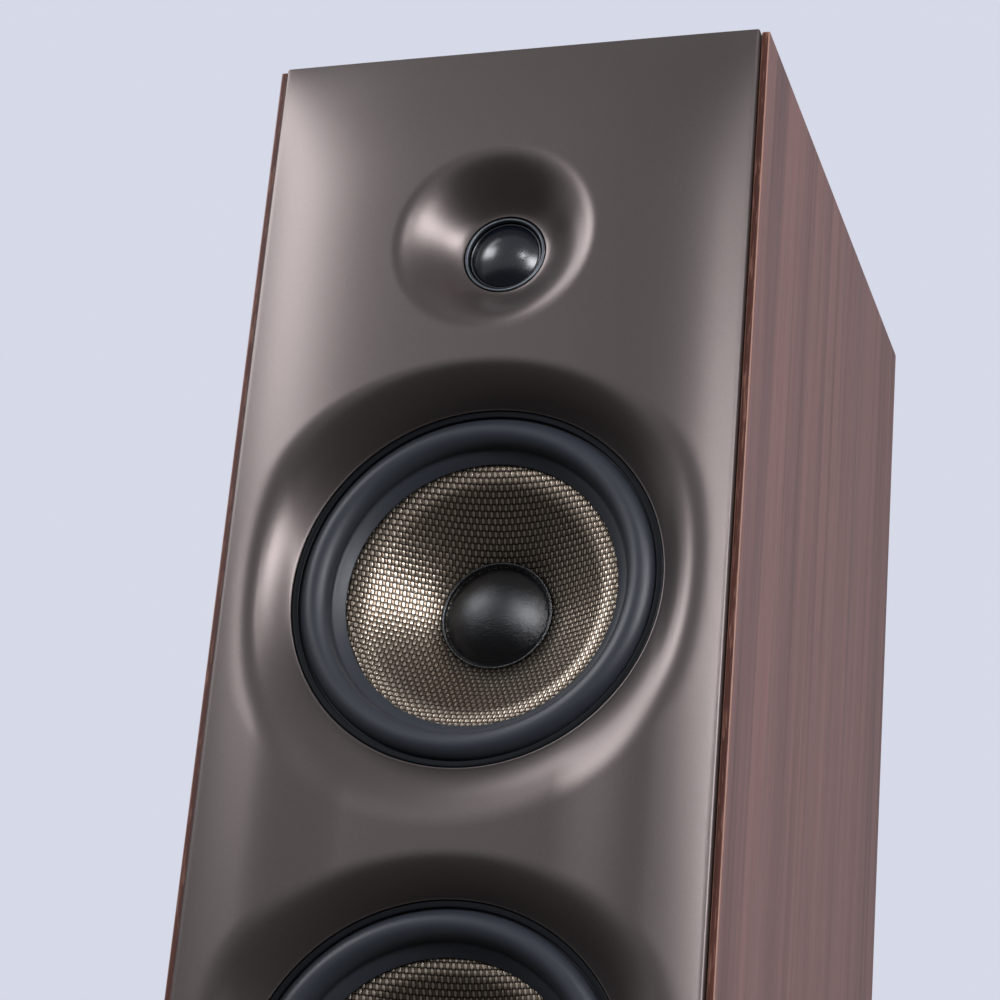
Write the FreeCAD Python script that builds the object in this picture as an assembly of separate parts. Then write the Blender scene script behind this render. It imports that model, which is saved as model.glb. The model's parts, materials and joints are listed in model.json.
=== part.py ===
import FreeCAD, Part
import math
import os

# Floorstanding speaker, in millimetres.
# Origin: centre of the footprint, at floor level. +Z up, the front faces -Y, +X is to the right
# of somebody who looks at the front.
# "Depth" is measured backwards (+Y) from the plane of the front baffle's edges.

# ---------------------------------------------------------------- driving dimensions
CABINET_WIDTH = 210.0
CABINET_TOP = 1010.0
PLINTH_BOTTOM = 26.0
PLINTH_THICK = 22.0
PLINTH_WIDTH = 250.0
PLINTH_DEPTH = 340.0
BAFFLE_EDGE_Y = -145.0
CABINET_REAR_Y = 145.0
PANEL = 18.0
INNER_BAFFLE_THICK = 22.0

# front baffle
BAFFLE_HALF = 101.4
BAFFLE_BACK_DEPTH = 13.0
LIP_INNER = 101.6
LIP_SETBACK = 2.6
CROWN = 9.5
CROWN_POWER = 4.5
END_FADE = 94.0
END_POWER = 3
VALLEY = 5.0
VALLEY_FLAT = 40.0
VALLEY_RADIUS = 80.0
DISH_RADIUS = 103.0
DISH_TOP_RADIUS = 91.0
DISH_POWER = 0.56
RIM_DEPTH = 7.0
GUIDE_RADIUS = 43.0
GUIDE_POWER = 0.81
GUIDE_DEPTH = 6.3

# drivers, measured down from the top of the cabinet
TWEETER_DROP = 93.0
WOOFER_DROPS = (237.4, 438.4)

# woofer
RING_OUTER = 75.0
RING_INNER = 71.4
FLANGE_RADIUS = 83.0
FLANGE_FRONT = 9.0
FLANGE_BACK = 12.0
CONE_EDGE_RADIUS = 60.0
CONE_VISIBLE_RADIUS = 54.9
CONE_VISIBLE_DEPTH = 15.7
CONE_SLOPE = 0.685
CONE_THICK = 0.97
CAP_RADIUS = 22.7
CAP_HEIGHT = 9.0
FORMER_RADIUS = 17.5
SCREWS_PER_WOOFER = 6
SCREW_CIRCLE = 79.2

# tweeter
TWEETER_RING = 17.1
DOME_RADIUS = 13.85
DOME_HEIGHT = 4.7

# rear
PORT_HEIGHT = 300.0
PORT_RADIUS = 27.0
PORT_LENGTH = 160.0
TERMINAL_HEIGHT = 160.0
POST_SPACING = 19.05
BANANA_RADIUS = 2.0
BANANA_DEPTH = 18.0

CABINET_HALF = CABINET_WIDTH / 2
CABINET_BOTTOM = PLINTH_BOTTOM + PLINTH_THICK
TWEETER_Z = CABINET_TOP - TWEETER_DROP
WOOFER_Z = tuple(CABINET_TOP - drop for drop in WOOFER_DROPS)
BAFFLE_BACK_Y = BAFFLE_EDGE_Y + BAFFLE_BACK_DEPTH
INNER_HALF = CABINET_HALF - PANEL
INNER_BACK_DEPTH = BAFFLE_BACK_DEPTH + INNER_BAFFLE_THICK
INNER_BACK_Y = BAFFLE_EDGE_Y + INNER_BACK_DEPTH
INNER_BOTTOM = CABINET_BOTTOM + PANEL
INNER_TOP = CABINET_TOP - PANEL
REAR_INNER_Y = CABINET_REAR_Y - PANEL

Y_AXIS = FreeCAD.Vector(0, 1, 0)
Z_AXIS = FreeCAD.Vector(0, 0, 1)
ORIGIN = FreeCAD.Vector(0, 0, 0)


# ---------------------------------------------------------------- shape helpers
def block(x0, x1, y0, y1, z0, z1):
    return Part.makeBox(x1 - x0, y1 - y0, z1 - z0, FreeCAD.Vector(x0, y0, z0))


def rod_y(radius, y0, y1, x=0.0, z=0.0):
    return Part.makeCylinder(radius, y1 - y0, FreeCAD.Vector(x, y0, z), Y_AXIS)


def rod_z(radius, z0, z1, x=0.0, y=0.0):
    return Part.makeCylinder(radius, z1 - z0, FreeCAD.Vector(x, y, z0), Z_AXIS)


def moved(shape, x=0.0, y=0.0, z=0.0):
    copy = shape.copy()
    copy.translate(FreeCAD.Vector(x, y, z))
    return copy


def united(shapes):
    result = shapes[0]
    if len(shapes) > 1:
        result = result.multiFuse(shapes[1:])
    return result.removeSplitter()


def group(shapes):
    return Part.makeCompound(shapes)


def on_profile(radius, depth):
    """A point of a driver's profile: radius from its axis, depth behind the edge plane."""
    return FreeCAD.Vector(radius, BAFFLE_EDGE_Y + depth, 0)


def turned(edges, angle=360.0):
    """Revolve closed profile edges about the Y axis."""
    face = Part.Face(Part.Wire(edges))
    return face.revolve(ORIGIN, Y_AXIS, angle)


def turned_polygon(points, angle=360.0):
    corners = [on_profile(radius, depth) for radius, depth in points]
    corners.append(corners[0])
    return turned(Part.makePolygon(corners).Edges, angle)


def arc(start, middle, end):
    return Part.Arc(on_profile(*start), on_profile(*middle), on_profile(*end)).toShape()


def line(start, end):
    return Part.makeLine(on_profile(*start), on_profile(*end))


def half_roll(outer, inner, thickness):
    """A half-round roll bulging to the front between two points of (radius, depth)."""
    centre = [(a + b) / 2 for a, b in zip(outer, inner)]
    span = [(a - b) / 2 for a, b in zip(outer, inner)]
    radius = math.hypot(*span)
    along = [value / radius for value in span]
    ahead = (along[1], -along[0])

    def at(distance, direction, sign=1.0):
        return tuple(c + sign * distance * d for c, d in zip(centre, direction))

    thin = radius - thickness
    return turned([
        arc(at(radius, along), at(radius, ahead), at(radius, along, -1)),
        line(at(radius, along, -1), at(thin, along, -1)),
        arc(at(thin, along, -1), at(thin, ahead), at(thin, along)),
        line(at(thin, along), at(radius, along)),
    ])


def cap_shell(radius, rim_depth, height, thickness):
    """A shallow domed cap whose rim lies at rim_depth and whose middle stands forward."""
    sphere = (radius ** 2 + height ** 2) / (2 * height)
    half_angle = math.asin(radius / sphere) / 2
    centre_depth = rim_depth - height + sphere

    def on_sphere(size, angle):
        return (size * math.sin(angle), centre_depth - size * math.cos(angle))

    inner = sphere - thickness
    return turned([
        arc(on_sphere(sphere, 0), on_sphere(sphere, half_angle), on_sphere(sphere, 2 * half_angle)),
        line(on_sphere(sphere, 2 * half_angle), on_sphere(inner, 2 * half_angle)),
        arc(on_sphere(inner, 2 * half_angle), on_sphere(inner, half_angle), on_sphere(inner, 0)),
        line(on_sphere(inner, 0), on_sphere(sphere, 0)),
    ])


def hexagon_z(across_flats, z0, z1, x, y):
    corner = across_flats / math.sqrt(3)
    points = []
    for step in range(7):
        angle = math.radians(60 * step)
        points.append(FreeCAD.Vector(x + corner * math.cos(angle), y + corner * math.sin(angle), z0))
    return Part.Face(Part.makePolygon(points)).extrude(FreeCAD.Vector(0, 0, z1 - z0))


def hexagon_y(across_flats, y0, y1, x, z):
    upright = hexagon_z(across_flats, -y1, -y0, 0, 0)
    upright.rotate(ORIGIN, FreeCAD.Vector(1, 0, 0), 90)
    return moved(upright, x, 0, z)


def around(count, radius, first_angle=0.0):
    """Points (x, z) evenly spaced on a circle."""
    for step in range(count):
        angle = math.radians(first_angle + 360.0 * step / count)
        yield radius * math.cos(angle), radius * math.sin(angle)


def countersunk_screw(front_y, length, shank, head, x, z):
    """A screw along +Y whose flat head is flush with front_y, with a hexagon socket."""
    head_depth = head - shank
    cone = Part.makeCone(head, shank, head_depth, FreeCAD.Vector(x, front_y, z), Y_AXIS)
    body = united([cone, rod_y(shank, front_y, front_y + length, x, z)])
    return body.cut(hexagon_y(shank * 1.2, front_y - 1, front_y + head_depth * 0.8, x, z))


def countersunk_hole(front_y, length, shank, head, x, z, gap=0.1):
    head_depth = head - shank
    cone = Part.makeCone(head + gap, shank + gap, head_depth, FreeCAD.Vector(x, front_y, z), Y_AXIS)
    return united([cone, rod_y(shank + gap, front_y - 1, front_y + length + gap, x, z)])


# ---------------------------------------------------------------- front baffle
def smooth(value):
    value = min(1.0, max(0.0, value))
    return value * value * (3.0 - 2.0 * value)


def relief(x, z):
    """How far the baffle's face stands in front of its edge plane at (x, z)."""
    near_top = max(0.0, 1.0 - (CABINET_TOP - z) / END_FADE)
    near_bottom = max(0.0, 1.0 - (z - CABINET_BOTTOM) / END_FADE)
    height = CROWN * (1.0 - (abs(x) / BAFFLE_HALF) ** CROWN_POWER)
    height *= (1.0 - near_top ** END_POWER) * (1.0 - near_bottom ** END_POWER)

    nearest = min(max(z, min(WOOFER_Z)), max(WOOFER_Z))
    from_line = math.hypot(x, z - nearest)
    height -= VALLEY * (1.0 - smooth((from_line - VALLEY_FLAT) / (VALLEY_RADIUS - VALLEY_FLAT)))

    beside = 1.0 - smooth((abs(x) - RING_OUTER) / (BAFFLE_HALF - RING_OUTER))
    for woofer_z in WOOFER_Z:
        from_centre = max(1.0, math.hypot(x, z - woofer_z))
        upward = max(0.0, (z - woofer_z) / from_centre) ** 2
        reach = DISH_RADIUS + (DISH_TOP_RADIUS - DISH_RADIUS) * upward - RING_OUTER
        dish = beside * (1.0 - smooth((max(0.0, from_centre - RING_OUTER) / reach) ** DISH_POWER))
        height += (-RIM_DEPTH - height) * dish

    from_dome = max(0.0, math.hypot(x, z - TWEETER_Z) - TWEETER_RING)
    guide = 1.0 - smooth((from_dome / (GUIDE_RADIUS - TWEETER_RING)) ** GUIDE_POWER)
    return height + (-GUIDE_DEPTH - height) * guide


def spaced(start, end, step):
    count = math.ceil(abs(end - start) / step)
    return [start + (end - start) * index / count for index in range(count + 1)]


def pole_places(knots):
    """Where the poles of a cubic spline with these knots sit, so that equal steps stay equal."""
    padded = [knots[0]] * 3 + knots + [knots[-1]] * 3
    return [sum(padded[index + 1:index + 4]) / 3 for index in range(len(padded) - 4)]


def pole_height(x, z, step):
    """The relief at a pole, raised where the face is sharply bent, because a spline cuts its corners."""
    here = relief(x, z)
    bend_x = relief(x + step, z) + relief(x - step, z) - 2 * here
    bend_z = relief(x, z + step) + relief(x, z - step) - 2 * here
    return here - (bend_x + bend_z) / 6


def baffle_face():
    """The sculpted surface, out to the baffle's four edges, as one cubic spline surface."""
    fine = 5.0
    coarse = 16.0
    degree = 3
    driver_zone_end = min(WOOFER_Z) - DISH_RADIUS - fine
    x_knots = spaced(-BAFFLE_HALF, BAFFLE_HALF, fine)
    z_knots = spaced(CABINET_BOTTOM, driver_zone_end, coarse) + spaced(driver_zone_end, CABINET_TOP, fine)[1:]
    x_places = pole_places(x_knots)
    z_places = pole_places(z_knots)
    poles = []
    for x in x_places:
        column = []
        for z in z_places:
            at_edge = x in x_places[:2] + x_places[-2:] or z in z_places[:2] + z_places[-2:]
            height = relief(x, z) if at_edge else pole_height(x, z, fine)
            column.append(FreeCAD.Vector(x, BAFFLE_EDGE_Y - height, z))
        poles.append(column)
    x_repeats = [degree + 1] + [1] * (len(x_knots) - 2) + [degree + 1]
    z_repeats = [degree + 1] + [1] * (len(z_knots) - 2) + [degree + 1]
    surface = Part.BSplineSurface()
    surface.buildFromPolesMultsKnots(poles, x_repeats, z_repeats, x_knots, z_knots, False, False, degree, degree)
    return surface.toShape()


def front_baffle():
    clearance = 0.3
    raw = baffle_face().extrude(FreeCAD.Vector(0, 40, 0))
    waste = block(-BAFFLE_HALF - 5, BAFFLE_HALF + 5, BAFFLE_BACK_Y, 0, CABINET_BOTTOM - 5, CABINET_TOP + 5)
    baffle = raw.cut(waste)
    pocket_y = BAFFLE_EDGE_Y + FLANGE_FRONT
    for z in WOOFER_Z:
        baffle = baffle.cut(rod_y(RING_OUTER + clearance, BAFFLE_EDGE_Y - 20, BAFFLE_BACK_Y, 0, z))
        baffle = baffle.cut(rod_y(FLANGE_RADIUS + clearance, pocket_y, BAFFLE_BACK_Y, 0, z))
    baffle = baffle.cut(rod_y(TWEETER_RING + 0.2, BAFFLE_EDGE_Y - 20, BAFFLE_BACK_Y, 0, TWEETER_Z))
    plate_y = BAFFLE_EDGE_Y + PLATE_FRONT
    return baffle.cut(rod_y(PLATE_RADIUS + clearance, plate_y, BAFFLE_BACK_Y, 0, TWEETER_Z))


# ---------------------------------------------------------------- cabinet
PLATE_RADIUS = 40.5
PLATE_FRONT = 10.0
PLATE_SCREW_CIRCLE = 36.2
SPEAKER_HOLE = 74.0
TWEETER_HOLE = 32.0
WOOFER_SCREW = (2.0, 4.0)
PLATE_SCREW = (1.5, 3.0)
TERMINAL_SCREW = (2.0, 4.0)
PLINTH_BOLT_POINTS = [(x, y) for x in (-60.0, 60.0) for y in (-100.0, 100.0)]
PLINTH_BOLT_END = INNER_BOTTOM - 4.0
PLINTH_BOLT_RADIUS = 3.0


def inner_baffle():
    board = block(-INNER_HALF, INNER_HALF, BAFFLE_BACK_Y, INNER_BACK_Y, INNER_BOTTOM, INNER_TOP)
    for z in WOOFER_Z:
        board = board.cut(rod_y(SPEAKER_HOLE, BAFFLE_BACK_Y, INNER_BACK_Y, 0, z))
        for dx, dz in around(SCREWS_PER_WOOFER, SCREW_CIRCLE, 30):
            board = board.cut(rod_y(WOOFER_SCREW[0] + 0.1, BAFFLE_BACK_Y, BAFFLE_BACK_Y + 17, dx, z + dz))
    board = board.cut(rod_y(TWEETER_HOLE, BAFFLE_BACK_Y, INNER_BACK_Y, 0, TWEETER_Z))
    for dx, dz in around(4, PLATE_SCREW_CIRCLE, 45):
        hole = rod_y(PLATE_SCREW[0] + 0.1, BAFFLE_BACK_Y, BAFFLE_BACK_Y + 14, dx, TWEETER_Z + dz)
        board = board.cut(hole)
    return board


def prism_y(points, y0, y1):
    corners = [FreeCAD.Vector(x, y0, z) for x, z in points]
    corners.append(corners[0])
    return Part.Face(Part.makePolygon(corners)).extrude(FreeCAD.Vector(0, y1 - y0, 0))


def side_panel(side):
    """A side panel with mitred ends and a thin front lip that frames the baffle."""
    outline = [
        (side * CABINET_HALF, CABINET_BOTTOM),
        (side * CABINET_HALF, CABINET_TOP),
        (side * INNER_HALF, INNER_TOP),
        (side * INNER_HALF, INNER_BOTTOM),
    ]
    panel = prism_y(outline, BAFFLE_BACK_Y, CABINET_REAR_Y)
    lip_x = sorted((side * LIP_INNER, side * CABINET_HALF))
    lip = block(*lip_x, BAFFLE_EDGE_Y + LIP_SETBACK, BAFFLE_BACK_Y, CABINET_BOTTOM, CABINET_TOP)
    return united([panel, lip])


def end_panel(outer_z, inner_z):
    outline = [(-CABINET_HALF, outer_z), (CABINET_HALF, outer_z), (INNER_HALF, inner_z), (-INNER_HALF, inner_z)]
    return prism_y(outline, BAFFLE_BACK_Y, CABINET_REAR_Y)


def bottom_panel():
    panel = end_panel(CABINET_BOTTOM, INNER_BOTTOM)
    for x, y in PLINTH_BOLT_POINTS:
        panel = panel.cut(rod_z(PLINTH_BOLT_RADIUS + 0.1, CABINET_BOTTOM - 1, PLINTH_BOLT_END + 0.2, x, y))
    return panel


def rear_panel():
    panel = block(-INNER_HALF, INNER_HALF, REAR_INNER_Y, CABINET_REAR_Y, INNER_BOTTOM, INNER_TOP)
    panel = panel.cut(rod_y(PORT_RADIUS + 3.7, REAR_INNER_Y, CABINET_REAR_Y, 0, PORT_HEIGHT))
    opening = block(-40, 40, REAR_INNER_Y, CABINET_REAR_Y, TERMINAL_HEIGHT - 25, TERMINAL_HEIGHT + 25)
    panel = panel.cut(opening)
    for x, z in terminal_screw_points():
        panel = panel.cut(rod_y(TERMINAL_SCREW[0] + 0.1, CABINET_REAR_Y - 12.2, CABINET_REAR_Y, x, z))
    return panel


def brace(middle_z):
    """A horizontal board between the side panels, with four rounded windows."""
    low = middle_z - PANEL / 2
    high = middle_z + PANEL / 2
    board = block(-INNER_HALF, INNER_HALF, INNER_BACK_Y, REAR_INNER_Y, low, high)
    window = block(-31, 31, -44, 44, low, high)
    window = window.makeFillet(12, [edge for edge in window.Edges if edge.Length == high - low])
    middle_y = (INNER_BACK_Y + REAR_INNER_Y) / 2
    for x in (-40, 40):
        for y in (-54, 54):
            board = board.cut(moved(window, x, middle_y + y, 0))
    return board


def damping_pads():
    """Foam against the side walls, behind each woofer."""
    pads = []
    for z in WOOFER_Z:
        for x0, x1 in ((-INNER_HALF, -INNER_HALF + 14), (INNER_HALF - 14, INNER_HALF)):
            pads.append(block(x0, x1, -30, REAR_INNER_Y - 2, z - 72, z + 72))
    return group(pads)


# ---------------------------------------------------------------- woofers
def cone_depth(radius):
    return CONE_VISIBLE_DEPTH + (CONE_VISIBLE_RADIUS - radius) * CONE_SLOPE


def woofer_gasket():
    ring = turned_polygon([
        (74.2, FLANGE_BACK), (FLANGE_RADIUS, FLANGE_BACK),
        (FLANGE_RADIUS, BAFFLE_BACK_DEPTH), (74.2, BAFFLE_BACK_DEPTH),
    ])
    for dx, dz in around(SCREWS_PER_WOOFER, SCREW_CIRCLE, 30):
        ring = ring.cut(rod_y(WOOFER_SCREW[0] + 0.1, BAFFLE_EDGE_Y, BAFFLE_BACK_Y + 1, dx, dz))
    return ring


def woofer_trim_ring():
    top = RIM_DEPTH
    return turned_polygon([
        (RING_INNER, top + 0.4), (RING_INNER + 0.4, top), (RING_OUTER - 0.6, top),
        (RING_OUTER, top + 0.6), (RING_OUTER, FLANGE_FRONT), (RING_INNER, FLANGE_FRONT),
    ])


def woofer_basket():
    """A cast frame: flange, six legs, spider ledge and the seat for the magnet."""
    frame = turned_polygon([
        (68, FLANGE_FRONT), (FLANGE_RADIUS, FLANGE_FRONT), (FLANGE_RADIUS, FLANGE_BACK), (72, FLANGE_BACK),
        (49, 53), (43.5, 59.5), (43.5, 62), (24, 62), (24, 59), (38, 59), (43, 54), (43, 50.6), (46, 50.6),
        (68, 14),
    ])
    window = turned_polygon([(44, 17), (80, 17), (80, 48), (44, 48)], 40)
    for leg in range(6):
        opening = window.copy()
        opening.rotate(ORIGIN, Y_AXIS, 60 * leg + 10)
        frame = frame.cut(opening)
    for dx, dz in around(SCREWS_PER_WOOFER, SCREW_CIRCLE, 30):
        frame = frame.cut(countersunk_hole(BAFFLE_EDGE_Y + FLANGE_FRONT, 6, *WOOFER_SCREW, dx, dz))
    return frame


def woofer_surround():
    """A half-roll that stands on the flange and ends in a lip over the cone's edge."""
    lip = 0.7
    gap = 0.1
    start = (71.3, 8.0)
    roll_end = 59.6
    end = (roll_end, cone_depth(roll_end) - gap - lip)
    roll = half_roll(start, end, 0.8)
    foot = turned_polygon([(70.5, 7.9), (71.3, 7.9), (71.3, FLANGE_FRONT), (70.5, FLANGE_FRONT)])
    edge = turned_polygon([
        (60.4, cone_depth(60.4) - gap), (60.4, cone_depth(60.4) - gap - lip),
        (CONE_VISIBLE_RADIUS, CONE_VISIBLE_DEPTH - gap - lip), (CONE_VISIBLE_RADIUS, CONE_VISIBLE_DEPTH - gap),
    ])
    return united([roll, foot, edge])


def woofer_cone():
    neck = FORMER_RADIUS + 0.1
    return turned_polygon([
        (neck, cone_depth(neck)), (CONE_EDGE_RADIUS, cone_depth(CONE_EDGE_RADIUS)),
        (CONE_EDGE_RADIUS, cone_depth(CONE_EDGE_RADIUS) + CONE_THICK), (neck, cone_depth(neck) + CONE_THICK),
    ])


def woofer_dust_cap():
    return cap_shell(CAP_RADIUS, cone_depth(CAP_RADIUS) - 0.25, CAP_HEIGHT, 0.6)


def woofer_voice_coil():
    inner = FORMER_RADIUS - 0.3
    winding = FORMER_RADIUS + 0.8
    return turned_polygon([
        (inner, 40.5), (FORMER_RADIUS, 40.5), (FORMER_RADIUS, 59), (winding, 59),
        (winding, 71), (FORMER_RADIUS, 71), (FORMER_RADIUS, 75), (inner, 75),
    ])


def woofer_spider():
    """A corrugated cloth ring from the coil former to the frame's ledge."""
    inner = FORMER_RADIUS + 0.15
    outer = 45.6
    flat = 43.5
    waves = 5
    height = 1.3
    seat = 50.0
    thick = 0.5
    samples = 8 * waves
    front = []
    for step in range(samples + 1):
        share = step / samples
        wave = height * math.sin(2 * math.pi * waves * share)
        front.append(on_profile(inner + (flat - inner) * share, seat + wave))
    back = [point + FreeCAD.Vector(0, thick, 0) for point in front]
    front_curve = Part.BSplineCurve()
    front_curve.interpolate(front)
    back_curve = Part.BSplineCurve()
    back_curve.interpolate(back)
    return turned([
        front_curve.toShape(),
        line((flat, seat), (outer, seat)),
        line((outer, seat), (outer, seat + thick)),
        line((outer, seat + thick), (flat, seat + thick)),
        back_curve.toShape(),
        Part.makeLine(back[0], front[0]),
    ])


def woofer_top_plate():
    return turned_polygon([(19.2, 62), (40, 62), (40, 68), (19.2, 68)])


def woofer_magnet():
    return turned_polygon([(24, 68), (45, 68), (45, 86), (24, 86)])


def woofer_yoke():
    return turned_polygon([
        (5, 62.5), (15.8, 62.5), (16.3, 63), (16.3, 86), (42, 86), (42, 91), (40, 93), (5, 93),
    ])


def woofer_screws(z):
    points = around(SCREWS_PER_WOOFER, SCREW_CIRCLE, 30)
    front = BAFFLE_EDGE_Y + FLANGE_FRONT
    return [countersunk_screw(front, 20, *WOOFER_SCREW, dx, z + dz) for dx, dz in points]


# ---------------------------------------------------------------- tweeter
def tweeter_faceplate():
    plate = turned_polygon([
        (15.3, GUIDE_DEPTH + 0.3), (15.6, GUIDE_DEPTH), (TWEETER_RING - 0.4, GUIDE_DEPTH),
        (TWEETER_RING, GUIDE_DEPTH + 0.4), (TWEETER_RING, PLATE_FRONT), (PLATE_RADIUS, PLATE_FRONT),
        (PLATE_RADIUS, BAFFLE_BACK_DEPTH), (14.4, BAFFLE_BACK_DEPTH), (14.4, 8.6), (15.3, 8.6),
    ])
    for dx, dz in around(4, PLATE_SCREW_CIRCLE, 45):
        plate = plate.cut(countersunk_hole(BAFFLE_EDGE_Y + PLATE_FRONT, 6, *PLATE_SCREW, dx, dz))
    return plate


def tweeter_surround():
    roll = half_roll((14.9, 8.3), (13.95, 8.3), 0.15)
    flange = turned_polygon([(14.7, 8.3), (15.2, 8.3), (15.2, 8.6), (14.7, 8.6)])
    return united([roll, flange])


def tweeter_dome():
    return cap_shell(DOME_RADIUS, 8.3, DOME_HEIGHT, 0.25)


def tweeter_voice_coil():
    return turned_polygon([
        (13.2, 8.5), (13.4, 8.5), (13.4, 12.5), (13.8, 12.5), (13.8, 17.5), (13.4, 17.5), (13.4, 19), (13.2, 19),
    ])


def tweeter_top_plate():
    return turned_polygon([(14.3, 13), (28, 13), (28, 17), (14.3, 17)])


def tweeter_magnet():
    return turned_polygon([(17, 17), (28.5, 17), (28.5, 27), (17, 27)])


def tweeter_yoke():
    return turned_polygon([(3, 13.5), (12.5, 13.5), (12.5, 27), (28, 27), (28, 31), (3, 31)])


def tweeter_rear_chamber():
    return turned_polygon([(28.2, 31), (30, 31), (30, 54), (28, 56), (0, 56), (0, 54.2), (28.2, 54.2)])


def tweeter_screws():
    points = around(4, PLATE_SCREW_CIRCLE, 45)
    front = BAFFLE_EDGE_Y + PLATE_FRONT
    return [countersunk_screw(front, 16, *PLATE_SCREW, dx, TWEETER_Z + dz) for dx, dz in points]


# ---------------------------------------------------------------- port and terminals
TERMINAL_HALF_X = 60.0
TERMINAL_HALF_Z = 42.0
TERMINAL_THICK = 4.0
POST_X = (-POST_SPACING / 2, POST_SPACING / 2)
POST_RADIUS = 3.9
THREAD_GAP = 0.45
POST_END_Y = 168.5
COLLAR_Y = CABINET_REAR_Y + TERMINAL_THICK
WASHER_Y = COLLAR_Y + 4.1
CAP_Y = WASHER_Y + 2.1
CAP_OUTER = 7.2


def port_tube():
    """A moulded reflex port: a plain tube with a flange and a flared mouth at the rear."""
    def at(radius, y):
        return (radius, y - BAFFLE_EDGE_Y)

    wall = PORT_RADIUS + 3.5
    flare = 10.0
    rear = CABINET_REAR_Y + 4.0
    inner_end = CABINET_REAR_Y - PORT_LENGTH
    middle = flare * math.sqrt(0.5)
    outline = [at(PORT_RADIUS + flare, rear), at(42, rear), at(43.5, rear - 1.5), at(43.5, CABINET_REAR_Y),
               at(wall, CABINET_REAR_Y), at(wall, inner_end), at(PORT_RADIUS, inner_end),
               at(PORT_RADIUS, rear - flare)]
    edges = [line(start, end) for start, end in zip(outline, outline[1:])]
    edges.append(arc(outline[-1], at(PORT_RADIUS + flare - middle, rear - flare + middle), outline[0]))
    return moved(turned(edges), 0, 0, PORT_HEIGHT)


def terminal_screw_points():
    inset = 8.0
    xs = (-TERMINAL_HALF_X + inset, TERMINAL_HALF_X - inset)
    zs = (TERMINAL_HEIGHT - TERMINAL_HALF_Z + inset, TERMINAL_HEIGHT + TERMINAL_HALF_Z - inset)
    return [(x, z) for x in xs for z in zs]


def turned_about(shape, x, z):
    """Turn a shape made along +Y half round, so that it points along -Y, and place it."""
    copy = shape.copy()
    copy.rotate(ORIGIN, Z_AXIS, 180)
    return moved(copy, x, 0, z)


def terminal_plate():
    low = TERMINAL_HEIGHT - TERMINAL_HALF_Z
    high = TERMINAL_HEIGHT + TERMINAL_HALF_Z
    plate = block(-TERMINAL_HALF_X, TERMINAL_HALF_X, CABINET_REAR_Y, COLLAR_Y, low, high)
    plate = plate.makeFillet(8, [edge for edge in plate.Edges if edge.Length == COLLAR_Y - CABINET_REAR_Y])
    for x in POST_X:
        plate = plate.cut(rod_y(POST_RADIUS + 0.1, CABINET_REAR_Y, COLLAR_Y, x, TERMINAL_HEIGHT))
    for x, z in terminal_screw_points():
        plate = plate.cut(turned_about(countersunk_hole(-COLLAR_Y, 6, *TERMINAL_SCREW, 0, 0), x, z))
    return plate


def terminal_screws():
    screw = countersunk_screw(-COLLAR_Y, 16, *TERMINAL_SCREW, 0, 0)
    return group([turned_about(screw, x, z) for x, z in terminal_screw_points()])


def binding_post(x):
    """A threaded post with a socket in its end and a cross hole for bare wire."""
    post = rod_y(POST_RADIUS, CABINET_REAR_Y - 14, POST_END_Y, x, TERMINAL_HEIGHT)
    post = post.cut(rod_y(BANANA_RADIUS, POST_END_Y - BANANA_DEPTH, POST_END_Y, x, TERMINAL_HEIGHT))
    reach = POST_RADIUS + 1
    return post.cut(rod_z(1.6, TERMINAL_HEIGHT - reach, TERMINAL_HEIGHT + reach, x, COLLAR_Y + 6.4))


def ring_y(inner, outer, y0, y1, x, z):
    return rod_y(outer, y0, y1, x, z).cut(rod_y(inner, y0, y1, x, z))


def post_collar(x):
    return ring_y(POST_RADIUS + 0.1, CAP_OUTER + 0.6, COLLAR_Y, COLLAR_Y + 4, x, TERMINAL_HEIGHT)


def post_nut(x):
    nut = hexagon_y(12, CABINET_REAR_Y - 5, CABINET_REAR_Y, x, TERMINAL_HEIGHT)
    return nut.cut(rod_y(POST_RADIUS + 0.1, CABINET_REAR_Y - 5, CABINET_REAR_Y, x, TERMINAL_HEIGHT))


def post_washer(x):
    return ring_y(POST_RADIUS + THREAD_GAP, 6.4, WASHER_Y, WASHER_Y + 2, x, TERMINAL_HEIGHT)


def post_cap(x):
    """A gripped cap, open at its end so that a plug reaches the post's socket."""
    end_y = POST_END_Y + 0.8
    cap = ring_y(POST_RADIUS + THREAD_GAP, CAP_OUTER, CAP_Y, end_y, x, TERMINAL_HEIGHT)
    for dx, dz in around(12, CAP_OUTER + 0.5):
        cap = cap.cut(rod_y(0.9, CAP_Y + 2, end_y - 2, x + dx, TERMINAL_HEIGHT + dz))
    return cap


# ---------------------------------------------------------------- crossover
BOARD_Z = INNER_BOTTOM + 6.0
BOARD_TOP = BOARD_Z + 1.6


def crossover_board():
    board = block(-55, 55, -60, 100, BOARD_Z, BOARD_TOP)
    legs = [rod_z(4, INNER_BOTTOM, BOARD_Z, x, y) for x in (-48, 48) for y in (-53, 93)]
    return united([board] + legs)


def crossover_inductors():
    coils = []
    for x, y, outer in ((-28, -34, 21), (28, -34, 21), (-30, 74, 16)):
        coil = rod_z(outer, BOARD_TOP, BOARD_TOP + 16, x, y)
        coils.append(coil.cut(rod_z(outer * 0.45, BOARD_TOP, BOARD_TOP + 16, x, y)))
    return group(coils)


def crossover_capacitors():
    cans = []
    for y, radius in ((8, 9), (30, 9), (48, 6)):
        centre = FreeCAD.Vector(-46, y, BOARD_TOP + radius)
        cans.append(Part.makeCylinder(radius, 44, centre, FreeCAD.Vector(1, 0, 0)))
    return group(cans)


def crossover_resistors():
    return group([block(12, 22 + 16, y, y + 9, BOARD_TOP, BOARD_TOP + 9) for y in (4, 20, 36)])


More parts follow.
